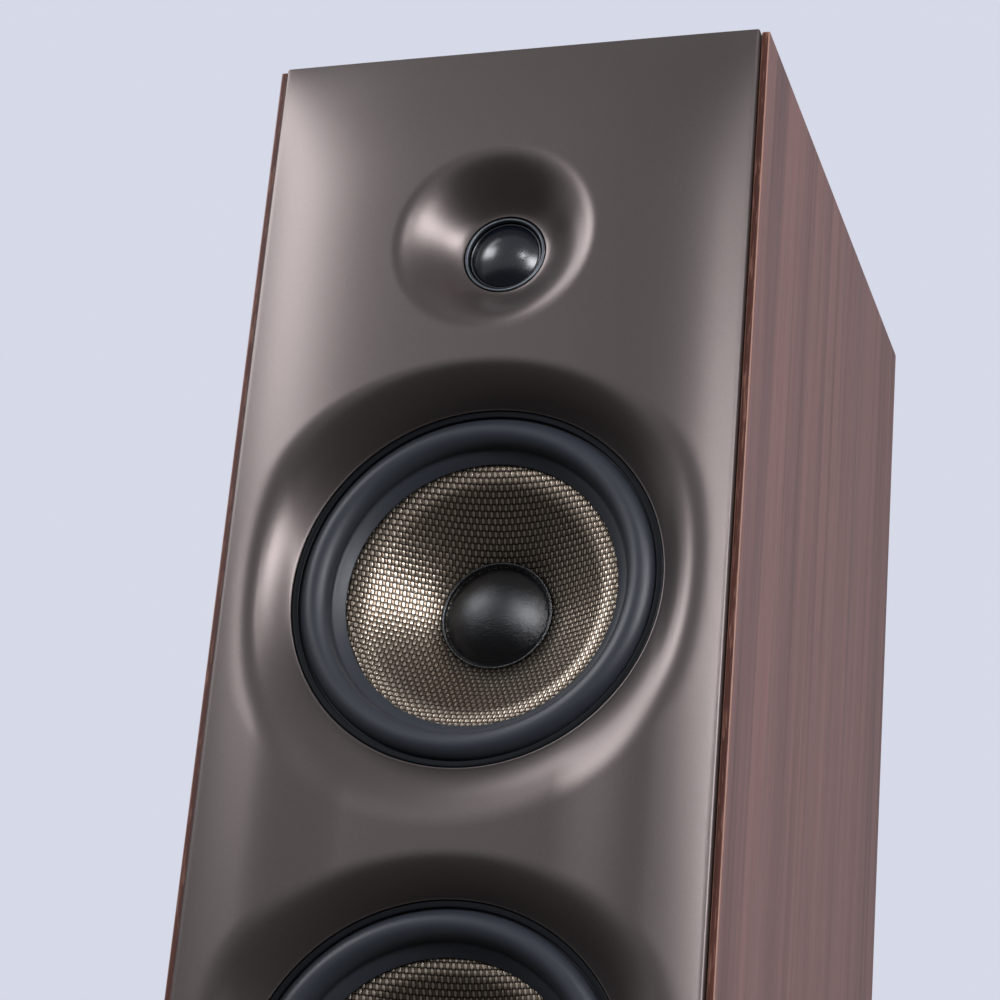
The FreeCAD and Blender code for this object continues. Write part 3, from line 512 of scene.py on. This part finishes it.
def make_materials():
    """Every material, by the slot that it fills or the name that the builders use."""
    return {
        "baffle_paint": metallic_paint(),
        "veneer": veneer("veneer_upright"),
        "veneer_level": veneer("veneer_level", "y"),
        "rear_lacquer": mottled("rear_lacquer", rgb(0.02, 0.02, 0.021), rgb(0.032, 0.031, 0.031), 0.38,
                                900.0, 0.00005),
        "mdf": mottled("raw_fibreboard", rgb(0.36, 0.25, 0.16), rgb(0.5, 0.37, 0.25), 0.85, 700.0),
        "foam": mottled("open_foam", rgb(0.05, 0.05, 0.055), rgb(0.16, 0.16, 0.17), 0.95, 500.0, 0.0008),
        "gasket": soft_black("foam_rubber", rgb(0.03, 0.03, 0.032), 0.8, 1500.0, 0.0001),
        "black_steel": metal("black_zinc", rgb(0.06, 0.06, 0.065), 0.36, (900.0, 900.0, 900.0)),
        "ring_plastic": soft_black("ring_moulding", rgb(0.006, 0.008, 0.011), 0.38, 2600.0, 0.00003,
                                   specular=0.22),
        "soft_dome": soft_black("coated_dome", rgb(0.004, 0.007, 0.014), 0.24, 2200.0, 0.00002, 0.5, 1.0),
        "surround_rubber": soft_black("surround_rubber", rgb(0.040, 0.047, 0.060), 0.42, 3000.0, 0.00003,
                                      specular=0.6),
        "woven_cone": woven_fibre(),
        "cap_paper": soft_black("dust_cap_grain", rgb(0.002, 0.0026, 0.004), 0.19, 1500.0, 0.0004, 0.15, 1.0),
        "copper": wound_copper(),
        "spider_cloth": mottled("spider_cloth", rgb(0.4, 0.3, 0.1), rgb(0.62, 0.5, 0.22), 0.8, 1400.0),
        "zinc_steel": metal("zinc_plate", rgb(0.62, 0.62, 0.6), 0.32, (500.0, 500.0, 500.0)),
        "ferrite": mottled("ferrite", rgb(0.045, 0.045, 0.047), rgb(0.085, 0.085, 0.085), 0.6, 800.0),
        "cast_frame": mottled("cast_frame", rgb(0.05, 0.05, 0.053), rgb(0.085, 0.085, 0.09), 0.5, 1200.0,
                              metallic=0.5),
        "ridge_metal": knurled_ring(),
        "satin_aluminium": metal("turned_aluminium", rgb(0.62, 0.62, 0.64), 0.3),
        "moulded_plastic": soft_black("moulded_plastic", rgb(0.022, 0.022, 0.024), 0.5, 1700.0, 0.00008),
        "terminal_aluminium": metal("anodised_plate", rgb(0.11, 0.11, 0.115), 0.34),
        "gold_brass": metal("gold_plate", rgb(0.83, 0.6, 0.26), 0.2, (600.0, 600.0, 600.0)),
        "red_cap": mottled("red_moulding", rgb(0.40, 0.008, 0.008), rgb(0.5, 0.015, 0.012), 0.25, 1500.0,
                           0.00003, coat=0.4),
        "black_cap": mottled("black_moulding", rgb(0.012, 0.012, 0.013), rgb(0.02, 0.02, 0.021), 0.25,
                             1500.0, 0.00003, coat=0.4),
        "circuit_board": mottled("solder_mask", rgb(0.015, 0.1, 0.035), rgb(0.03, 0.17, 0.06), 0.3, 600.0,
                                 0.00005, coat=0.3),
        "capacitor_film": mottled("wrapped_film", rgb(0.45, 0.28, 0.03), rgb(0.6, 0.42, 0.08), 0.3, 500.0,
                                  0.00005, coat=0.3),
        "cement": mottled("cast_cement", rgb(0.66, 0.64, 0.58), rgb(0.8, 0.78, 0.73), 0.85, 900.0),
        "plinth_lacquer": mottled("plinth_lacquer", rgb(0.014, 0.014, 0.015), rgb(0.022, 0.022, 0.023), 0.3,
                                  1100.0, 0.00004, coat=0.2),
        "foot_metal": metal("turned_foot", rgb(0.33, 0.33, 0.34), 0.28, (700.0, 700.0, 700.0)),
        "foot_rubber": soft_black("foot_rubber", rgb(0.02, 0.02, 0.02), 0.75, 1500.0, 0.0001),
    }


# ---------------------------------------------------------------- front baffle
def smooth(value):
    value = np.clip(value, 0.0, 1.0)
    return value * value * (3.0 - 2.0 * value)


def relief(x, z):
    """How far the baffle's face stands in front of its edge plane."""
    near_top = np.maximum(0.0, 1.0 - (BAFFLE_TOP - z) / END_FADE)
    near_bottom = np.maximum(0.0, 1.0 - (z - BAFFLE_BOTTOM) / END_FADE)
    height = CROWN * (1.0 - (np.abs(x) / BAFFLE_HALF) ** CROWN_POWER)
    height = height * (1.0 - near_top ** END_POWER) * (1.0 - near_bottom ** END_POWER)
    nearest = np.clip(z, min(WOOFER_Z), max(WOOFER_Z))
    from_line = np.hypot(x, z - nearest)
    height = height - VALLEY * (1.0 - smooth((from_line - VALLEY_FLAT) / (VALLEY_RADIUS - VALLEY_FLAT)))
    beside = 1.0 - smooth((np.abs(x) - RING_OUTER) / (BAFFLE_HALF - RING_OUTER))
    for woofer_z in WOOFER_Z:
        radius = np.maximum(1.0, np.hypot(x, z - woofer_z))
        upward = np.maximum(0.0, (z - woofer_z) / radius) ** 2
        reach = DISH_RADIUS + (DISH_TOP_RADIUS - DISH_RADIUS) * upward - RING_OUTER
        dish = beside * (1.0 - smooth((np.maximum(0.0, radius - RING_OUTER) / reach) ** DISH_POWER))
        height = height + (-RIM_DEPTH - height) * dish
    from_dome = np.maximum(0.0, np.hypot(x, z - TWEETER_Z) - TWEETER_RING)
    guide = 1.0 - smooth((from_dome / (GUIDE_RADIUS - TWEETER_RING)) ** GUIDE_POWER)
    return height + (-GUIDE_DEPTH - height) * guide


def on_face(x, z):
    return np.stack([x, EDGE_Y - relief(x, z), z], axis=-1)


def corner_angles(start=0):
    """The steps of a quarter turn, in degrees."""
    return [start + 90 * step / ROUNDING_STEPS for step in range(ROUNDING_STEPS + 1)]


class Patchwork:
    """Quads gathered from several patches, welded where their borders meet."""

    def __init__(self):
        self.points = []
        self.faces = []
        self.count = 0

    def strip(self, rows, closed=False):
        """rows is an array of shape (rows, columns, 3); neighbours are joined by quads."""
        rows = np.asarray(rows, float)
        height, width = rows.shape[:2]
        self.points.append(rows.reshape(-1, 3))
        across = width if closed else width - 1
        for row in range(height - 1):
            start = self.count + row * width
            for column in range(across):
                following = (column + 1) % width
                self.faces.append((start + column, start + following,
                                   start + width + following, start + width + column))
        self.count += height * width

    def finished(self, name):
        """Weld the patches, close what is still open with flat faces, and turn the faces outwards."""
        piece = mesh_object(name, np.concatenate(self.points), self.faces)
        work = bmesh.new()
        work.from_mesh(piece.data)
        bmesh.ops.remove_doubles(work, verts=work.verts, dist=1e-6)
        bmesh.ops.dissolve_degenerate(work, edges=work.edges, dist=1e-7)
        open_edges = [edge for edge in work.edges if edge.is_boundary]
        filled = bmesh.ops.triangle_fill(work, edges=open_edges, use_beauty=True)
        for face in filled["geom"]:
            if isinstance(face, bmesh.types.BMFace):
                face.smooth = False
        bmesh.ops.recalc_face_normals(work, faces=work.faces)
        work.to_mesh(piece.data)
        work.free()
        return piece


def rectangle_loop(xs, zs):
    """The border of a grid, once round, without repeating the first point."""
    return np.array([(x, zs[0]) for x in xs[:-1]] + [(xs[-1], z) for z in zs[:-1]]
                    + [(x, zs[-1]) for x in xs[:0:-1]] + [(xs[0], z) for z in zs[:0:-1]])


def driver_patch(work, centre_z, hole, lip, behind, xs, zs):
    """A patch from a rectangle of grid lines in to a round hole, with a rounded rim.

    The bore behind it follows the (radius, depth) points of `behind`. The rows are set closer
    together towards the hole.
    """
    crowding = 1.25
    border = rectangle_loop(xs, zs)
    offset = border - np.array([0.0, centre_z])
    outward = offset / np.linalg.norm(offset, axis=1, keepdims=True)
    inner = outward * (hole + lip)
    rows = []
    for step in range(PATCH_STEPS + 1):
        share = (step / PATCH_STEPS) ** crowding
        flat = inner + (offset - inner) * share
        rows.append(on_face(flat[:, 0], flat[:, 1] + centre_z))
    rows.reverse()
    rim_y = rows[-1][:, 1]
    for degrees in corner_angles()[1:]:
        angle = math.radians(degrees)
        ring = outward * (hole + lip * (1 - math.sin(angle)))
        level = rim_y + lip * (1 - math.cos(angle))
        rows.append(np.stack([ring[:, 0], level, ring[:, 1] + centre_z], axis=-1))
    for radius, depth in behind:
        ring = outward * radius
        level = np.full(len(ring), EDGE_Y + depth)
        rows.append(np.stack([ring[:, 0], level, ring[:, 1] + centre_z], axis=-1))
    work.strip(np.array(rows), closed=True)


def edge_wrap(work, xs, zs):
    """Round the outer edge over, and carry it back to the baffle's rear.

    Each point of the loop is (x, z, the direction in degrees that the edge faces there), and a
    corner has a fan of directions.
    """
    border = rectangle_loop(xs, zs)
    corners = {(xs[0], zs[0]): 180, (xs[-1], zs[0]): 270, (xs[-1], zs[-1]): 0, (xs[0], zs[-1]): 90}
    loop = []
    for x, z in border:
        if (x, z) in corners:
            loop += [(x, z, degrees) for degrees in corner_angles(corners[(x, z)])]
        elif z in (zs[0], zs[-1]):
            loop.append((x, z, 90 if z == zs[-1] else -90))
        else:
            loop.append((x, z, 0 if x == xs[-1] else 180))
    loop = np.array(loop)
    along = np.radians(loop[:, 2])
    outward = np.stack([np.cos(along), np.sin(along)], axis=-1)
    front = on_face(loop[:, 0], loop[:, 1])
    rows = []
    for degrees in corner_angles():
        sideways = EDGE_ROUNDING * math.sin(math.radians(degrees))
        backwards = EDGE_ROUNDING * (1 - math.cos(math.radians(degrees)))
        rows.append(np.stack([loop[:, 0] + outward[:, 0] * sideways,
                              front[:, 1] + backwards,
                              loop[:, 1] + outward[:, 1] * sideways], axis=-1))
    back = rows[-1].copy()
    back[:, 1] = EDGE_Y + BAFFLE_BACK_DEPTH
    rows.append(back)
    work.strip(np.array(rows), closed=True)


def build_baffle(materials):
    """The baffle as bands of grid lines, with a patch round each driver's hole."""
    columns = 144
    guide_columns = 32
    pitch = WOOFER_Z[0] - WOOFER_Z[1]
    xs = np.linspace(-BAFFLE_HALF + EDGE_ROUNDING, BAFFLE_HALF - EDGE_ROUNDING, columns + 1)
    step = xs[1] - xs[0]
    woofer_rows = round(pitch / step)
    upper = np.linspace(WOOFER_Z[0] - pitch / 2, WOOFER_Z[0] + pitch / 2, woofer_rows + 1)
    lower = np.linspace(WOOFER_Z[1] - pitch / 2, WOOFER_Z[1] + pitch / 2, woofer_rows + 1)
    guide_half = TWEETER_Z - upper[-1]
    guide = np.linspace(upper[-1], TWEETER_Z + guide_half, 2 * round(guide_half / step) + 1)
    top_end = BAFFLE_TOP - EDGE_ROUNDING
    top = np.linspace(guide[-1], top_end, round((top_end - guide[-1]) / step) + 1)
    bottom_end = BAFFLE_BOTTOM + EDGE_ROUNDING
    bottom = np.linspace(bottom_end, lower[0], round((lower[0] - bottom_end) / step / 2) + 1)

    work = Patchwork()

    def grid(grid_xs, grid_zs):
        x, z = np.meshgrid(grid_xs, grid_zs)
        work.strip(on_face(x, z))

    left_of_guide = columns // 2 - guide_columns
    right_of_guide = columns // 2 + guide_columns
    grid(xs, bottom)
    grid(xs[:left_of_guide + 1], guide)
    grid(xs[right_of_guide:], guide)
    grid(xs, top)

    def pocket(hole, front, radius):
        return [(hole, front), (radius, front), (radius, BAFFLE_BACK_DEPTH)]

    behind_woofer = pocket(WOOFER_HOLE, FLANGE_FRONT, FLANGE_RADIUS)
    for centre_z, zs in zip(WOOFER_Z, (upper, lower)):
        driver_patch(work, centre_z, WOOFER_HOLE, WOOFER_LIP, behind_woofer, xs, zs)
    behind_tweeter = pocket(TWEETER_HOLE, PLATE_FRONT, PLATE_RADIUS)
    guide_xs = xs[left_of_guide:right_of_guide + 1]
    driver_patch(work, TWEETER_Z, TWEETER_HOLE, TWEETER_LIP, behind_tweeter, guide_xs, guide)
    edge_zs = np.concatenate([bottom, lower[1:], upper[1:], guide[1:], top[1:]])
    edge_wrap(work, xs, edge_zs)
    piece = work.finished("baffle_shell")
    place(piece, "cabinet", materials["baffle_paint"], "front_baffle", slot="baffle_paint")


# ---------------------------------------------------------------- woofers
def cone_depth(radius):
    """The depth of the cone's front face, which is straight from neck to edge."""
    return CONE_VISIBLE_DEPTH + (CONE_VISIBLE_RADIUS - radius) * CONE_SLOPE


def trim_ring_outline():
    return rounded([
        (RING_INNER, FLANGE_FRONT), (RING_INNER, RIM_DEPTH + 0.25, 0.5),
        (RING_VISIBLE, RIM_DEPTH + 0.1, 0.9), (RING_VISIBLE, FLANGE_FRONT),
    ])


def surround_outline():
    """Foot, half-roll, groove and flat lip, then back along the underside."""
    lip = 0.7
    gap = 0.1
    foot_outer = 71.3
    foot_inner = 70.5
    foot_front = 9.3
    groove = 59.2
    lip_outer = 58.6
    lip_end = 60.2

    def lip_face(radius):
        return cone_depth(radius) - gap - lip

    front = [(foot_outer, FLANGE_FRONT), (foot_outer, foot_front)]
    front += arc_points(ROLL_CENTRE, ROLL_RADIUS, 6, 190, 40)
    front += [(front[-1][0] - 0.35, lip_face(groove) + 0.12), (lip_outer, lip_face(lip_outer))]
    front += [(CONE_VISIBLE_RADIUS + 0.15, lip_face(CONE_VISIBLE_RADIUS)),
              (CONE_VISIBLE_RADIUS, lip_face(CONE_VISIBLE_RADIUS) + 0.15),
              (CONE_VISIBLE_RADIUS, CONE_VISIBLE_DEPTH - gap)]
    back = [(lip_end, cone_depth(lip_end) - gap)]
    back += arc_points(ROLL_CENTRE, ROLL_RADIUS - ROLL_THICKNESS, 186, 8, 30)
    back += [(foot_inner, FLANGE_FRONT)]
    return front + back


def cone_outline():
    """The two points between neck and edge keep the shading's turn at each end short."""
    neck = 17.6
    edge = 60.0
    thick = 0.97
    front = [(radius, cone_depth(radius)) for radius in (neck, 30.0, 45.0, edge)]
    return front + [(edge, cone_depth(edge) + thick), (neck, cone_depth(neck) + thick)]


def dust_cap_outline():
    """A domed cap with a groove inside its thin raised rim, glued down on the cone."""
    edge = CAP_RADIUS
    shoulder = edge - 1.5
    shoulder_depth = cone_depth(shoulder) + 0.2
    sphere = (shoulder ** 2 + CAP_HEIGHT ** 2) / (2 * CAP_HEIGHT)
    centre = (0.0, shoulder_depth - CAP_HEIGHT + sphere)
    reach = math.degrees(math.acos(shoulder / sphere))
    dome = arc_points(centre, sphere, 90, reach, 40)
    rim = [(edge - 1.35, cone_depth(edge - 1.35) - 0.1), (edge - 1.15, cone_depth(edge) - 0.35),
           (edge - 0.8, cone_depth(edge) - 0.75), (edge - 0.4, cone_depth(edge) - 0.8),
           (edge - 0.1, cone_depth(edge) - 0.6), (edge, cone_depth(edge) - 0.02)]
    under = [(shoulder, cone_depth(shoulder) + 0.05)]
    inside = arc_points(centre, sphere - CAP_THICKNESS, reach, 90, 20)
    return dome + rim + under + inside


def bend_radially(piece):
    """Bake a ring's placement into its mesh."""
    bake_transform(piece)


def build_woofer(number, centre_z, materials):
    moving = f"woofer_{number}_moving"

    def name(piece):
        return f"woofer_{number}_{piece}"

    ring = lathe(name("ring_moulding"), trim_ring_outline(), centre_z)
    place(ring, "cabinet", materials["ring_plastic"], name("trim_ring"), slot="ring_plastic")

    surround = lathe(name("rubber_roll"), surround_outline(), centre_z)
    place(surround, None, materials["surround_rubber"])
    bend_radially(surround)
    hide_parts(name("surround"))

    cone = lathe(name("woven_cone"), cone_outline(), centre_z)
    place(cone, moving, materials["woven_cone"], name("cone"), slot="woven_cone")

    cap = lathe(name("cap_dome"), dust_cap_outline(), centre_z, 128, closed=False)
    place(cap, moving, materials["cap_paper"], name("dust_cap"), slot="cap_paper")


# ---------------------------------------------------------------- tweeter
def tweeter_face_outline():
    """The plate's ring round the dome, with a rounded ridge that stands between two steps."""
    bore = 14.4
    ridge_top = GUIDE_DEPTH + 0.02
    plate_edge = PLATE_RADIUS - 0.3
    return rounded([
        (bore, BAFFLE_BACK_DEPTH), (bore, SEAT_DEPTH), (SEAT_RADIUS, SEAT_DEPTH, 0.12),
        (SEAT_RADIUS, GUIDE_DEPTH + 0.9, 0.1), (15.45, GUIDE_DEPTH + 0.9, 0.08),
        (15.5, ridge_top, 0.5), (16.75, ridge_top, 0.5),
        (16.8, GUIDE_DEPTH + 1.1, 0.1), (TWEETER_RING, GUIDE_DEPTH + 1.1, 0.05),
        (TWEETER_RING, PLATE_FRONT), (plate_edge, PLATE_FRONT), (plate_edge, BAFFLE_BACK_DEPTH),
    ], 8)


def build_tweeter(materials):
    ring = lathe("tweeter_ring", tweeter_face_outline(), TWEETER_Z)
    place(ring, "cabinet", materials["ring_plastic"], "tweeter_faceplate", slot="ring_plastic")
    ring.data.materials.append(materials["ridge_metal"])
    ridge_inner = 15.44
    ridge_outer = 16.82
    ridge_foot = EDGE_Y + GUIDE_DEPTH + 0.85
    for polygon in ring.data.polygons:
        middle = polygon.center / MM
        radius = math.hypot(middle.x, middle.z - TWEETER_Z)
        if ridge_inner < radius < ridge_outer and middle.y < ridge_foot:
            polygon.material_index = 1

    roll_centre = (14.43, DOME_EDGE_DEPTH)
    roll = arc_points(roll_centre, 0.47, 0, 180, 12) + arc_points(roll_centre, 0.32, 180, 0, 12)
    outline = [(SEAT_RADIUS, SEAT_DEPTH), (SEAT_RADIUS, DOME_EDGE_DEPTH)] + roll + [(14.75, SEAT_DEPTH)]
    surround = lathe("tweeter_roll", outline, TWEETER_Z)
    place(surround, None, materials["soft_dome"])
    bend_radially(surround)
    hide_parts("tweeter_surround")

    sphere = (DOME_RADIUS ** 2 + DOME_HEIGHT ** 2) / (2 * DOME_HEIGHT)
    centre = (0.0, DOME_EDGE_DEPTH - DOME_HEIGHT + sphere)
    reach = math.degrees(math.acos(DOME_RADIUS / sphere))
    dome = arc_points(centre, sphere, 90, reach, 40)
    dome += arc_points(centre, sphere - DOME_THICKNESS, reach, 90, 20)
    cap = lathe("tweeter_cap", dome, TWEETER_Z, 128, closed=False)
    place(cap, "tweeter_moving", materials["soft_dome"], "tweeter_dome", slot="soft_dome")


# ---------------------------------------------------------------- CAD nodes that stay
LEVEL_GRAIN = ("top_panel", "bottom_panel")
BEVELS = {"side_panel_left": 0.8, "side_panel_right": 0.8, "top_panel": 0.3, "bottom_panel": 0.3,
          "rear_panel": 0.4, "plinth": 0.8, "terminal_plate": 0.4}


def finish_cad_nodes(materials):
    """Give every CAD node its material, and the large sharp-edged ones a small bevel."""
    slots = {entry["node"]: entry["material_slot"] for entry in frame["record"]["subparts"]}
    for node, piece in frame["nodes"].items():
        material = materials["veneer_level"] if node in LEVEL_GRAIN else materials[slots[node]]
        piece.data.materials.clear()
        piece.data.materials.append(material)
        if node in BEVELS:
            weld = piece.modifiers.new("weld", "WELD")
            weld.merge_threshold = 0.00001
            bevel = piece.modifiers.new("bevel", "BEVEL")
            bevel.width = BEVELS[node] * MM
            bevel.segments = 3
            bevel.limit_method = "ANGLE"
            bevel.angle_limit = math.radians(40)
            bevel.harden_normals = True


# ---------------------------------------------------------------- stage, lights and camera
# The room's brightness, from 0 straight below to 1 straight above.
ROOM_GLOW = ((0.0, 0.02), (0.07, 0.03), (0.25, 0.16), (0.5, 0.35), (0.75, 0.33), (0.93, 0.26), (1.0, 0.45))
ROOM_TINT = (0.94, 0.97, 1.03)
FLOOR_RADIUS = 7.0
LIGHTS_MEET_AT = (0.0, EDGE_Y * MM, 0.80)
COOL_WHITE = (0.95, 0.97, 1.03)
WARM_WHITE = (1.0, 0.97, 0.97)
PLAIN_WHITE = (1.0, 1.0, 1.0)
CAMERA_LENS = 119.8
CAMERA_PLACE = (378.9, EDGE_Y - 1109.2, BAFFLE_TOP - 733.6)
CAMERA_TURN = (114.41, -4.70, 16.29)


def build_stage():
    """A pale floor. What it throws back on to the object is kept low, as in a dark-sided studio."""
    bpy.ops.mesh.primitive_circle_add(
        vertices=128, radius=FLOOR_RADIUS, fill_type="NGON", location=(0, 0, 0))
    floor = bpy.context.object
    floor.name = "floor"
    graph = Graph("pale_floor", Emission_Color=rgb(0.70, 0.73, 0.82))
    seen = graph.nodes.new("ShaderNodeLightPath").outputs["Is Camera Ray"]
    grain = graph.noise(graph.position, 40.0, 4.0, 0.6)
    pale = graph.mix(grain, rgb(0.66, 0.69, 0.76), rgb(0.70, 0.73, 0.80))
    graph.colour(graph.mix(seen, rgb(0.05, 0.045, 0.042), pale))
    graph.feed(graph.shader.inputs["Emission Strength"], graph.maths("MULTIPLY", seen, 0.42))
    graph.roughness(0.7)
    floor.data.materials.append(graph.material)


def build_world():
    """A pale room to the camera, and a dimmer one, darker low down, to everything it lights."""
    world = bpy.data.worlds.new("studio")
    bpy.context.scene.world = world
    world.use_nodes = True
    nodes = world.node_tree.nodes
    links = world.node_tree.links
    nodes.clear()
    output = nodes.new("ShaderNodeOutputWorld")
    seen = nodes.new("ShaderNodeBackground")
    seen.inputs[0].default_value = rgb(0.675, 0.695, 0.80)
    around = nodes.new("ShaderNodeBackground")
    direction = nodes.new("ShaderNodeTexCoord")
    split = nodes.new("ShaderNodeSeparateXYZ")
    links.new(direction.outputs["Generated"], split.inputs[0])
    height = nodes.new("ShaderNodeMapRange")
    height.inputs["From Min"].default_value = -1.0
    links.new(split.outputs[2], height.inputs[0])
    ramp = nodes.new("ShaderNodeValToRGB")
    links.new(height.outputs[0], ramp.inputs[0])
    elements = ramp.color_ramp.elements
    while len(elements) < len(ROOM_GLOW):
        elements.new(0.5)
    for element, (position, glow) in zip(elements, ROOM_GLOW):
        element.position = position
        element.color = rgb(*(glow * share for share in ROOM_TINT))
    links.new(ramp.outputs[0], around.inputs[0])
    path = nodes.new("ShaderNodeLightPath")
    mix = nodes.new("ShaderNodeMixShader")
    links.new(path.outputs["Is Camera Ray"], mix.inputs[0])
    links.new(around.outputs[0], mix.inputs[1])
    links.new(seen.outputs[0], mix.inputs[2])
    links.new(mix.outputs[0], output.inputs[0])


def softbox(name, direction, distance, size, power, colour):
    """An area light that faces the upper part of the baffle from a direction. Lengths are in metres."""
    data = bpy.data.lights.new(name, "AREA")
    data.shape = "RECTANGLE"
    data.size, data.size_y = size
    data.energy = power
    data.color = colour
    lamp = bpy.data.objects.new(name, data)
    bpy.context.scene.collection.objects.link(lamp)
    towards = Vector(direction).normalized()
    lamp.location = Vector(LIGHTS_MEET_AT) + towards * distance
    lamp.rotation_euler = towards.to_track_quat("Z", "Y").to_euler()


def compass(azimuth, elevation):
    """A direction from degrees: azimuth 0 is straight in front of the baffle, and 90 is towards +X."""
    turn = math.radians(azimuth)
    lift = math.radians(elevation)
    return (math.sin(turn) * math.cos(lift), -math.cos(turn) * math.cos(lift), math.sin(lift))


def build_lights():
    softbox("left_box", compass(-47, 31), 2.2, (0.75, 0.65), 8.2, COOL_WHITE)
    softbox("left_high_box", compass(-70, 43), 2.0, (1.0, 1.2), 10.4, COOL_WHITE)
    softbox("right_box", compass(49, 14), 1.2, (0.6, 0.4), 6.6, COOL_WHITE)
    softbox("right_near_box", compass(24, 24), 1.6, (0.16, 0.16), 1.9, COOL_WHITE)
    softbox("side_fill", compass(85, -5), 2.6, (1.2, 1.2), 5, WARM_WHITE)
    softbox("rear_fill", compass(-150, 30), 2.4, (1.4, 1.4), 13, PLAIN_WHITE)


def build_camera():
    """The camera looks up at the tweeter and the upper woofer from below, on the +X side."""
    data = bpy.data.cameras.new("camera")
    data.sensor_width = 36.0
    data.lens = CAMERA_LENS
    data.clip_start = 0.05
    camera = bpy.data.objects.new("camera", data)
    bpy.context.scene.collection.objects.link(camera)
    camera.location = Vector(CAMERA_PLACE) * MM
    camera.rotation_euler = [math.radians(angle) for angle in CAMERA_TURN]
    bpy.context.scene.camera = camera
    bpy.context.scene.view_settings.view_transform = "Standard"


# ---------------------------------------------------------------- the whole scene
materials = make_materials()
finish_cad_nodes(materials)
build_baffle(materials)
for number, centre_z in enumerate(WOOFER_Z, start=1):
    build_woofer(number, centre_z, materials)
build_tweeter(materials)
build_stage()
build_world()
build_lights()
build_camera()
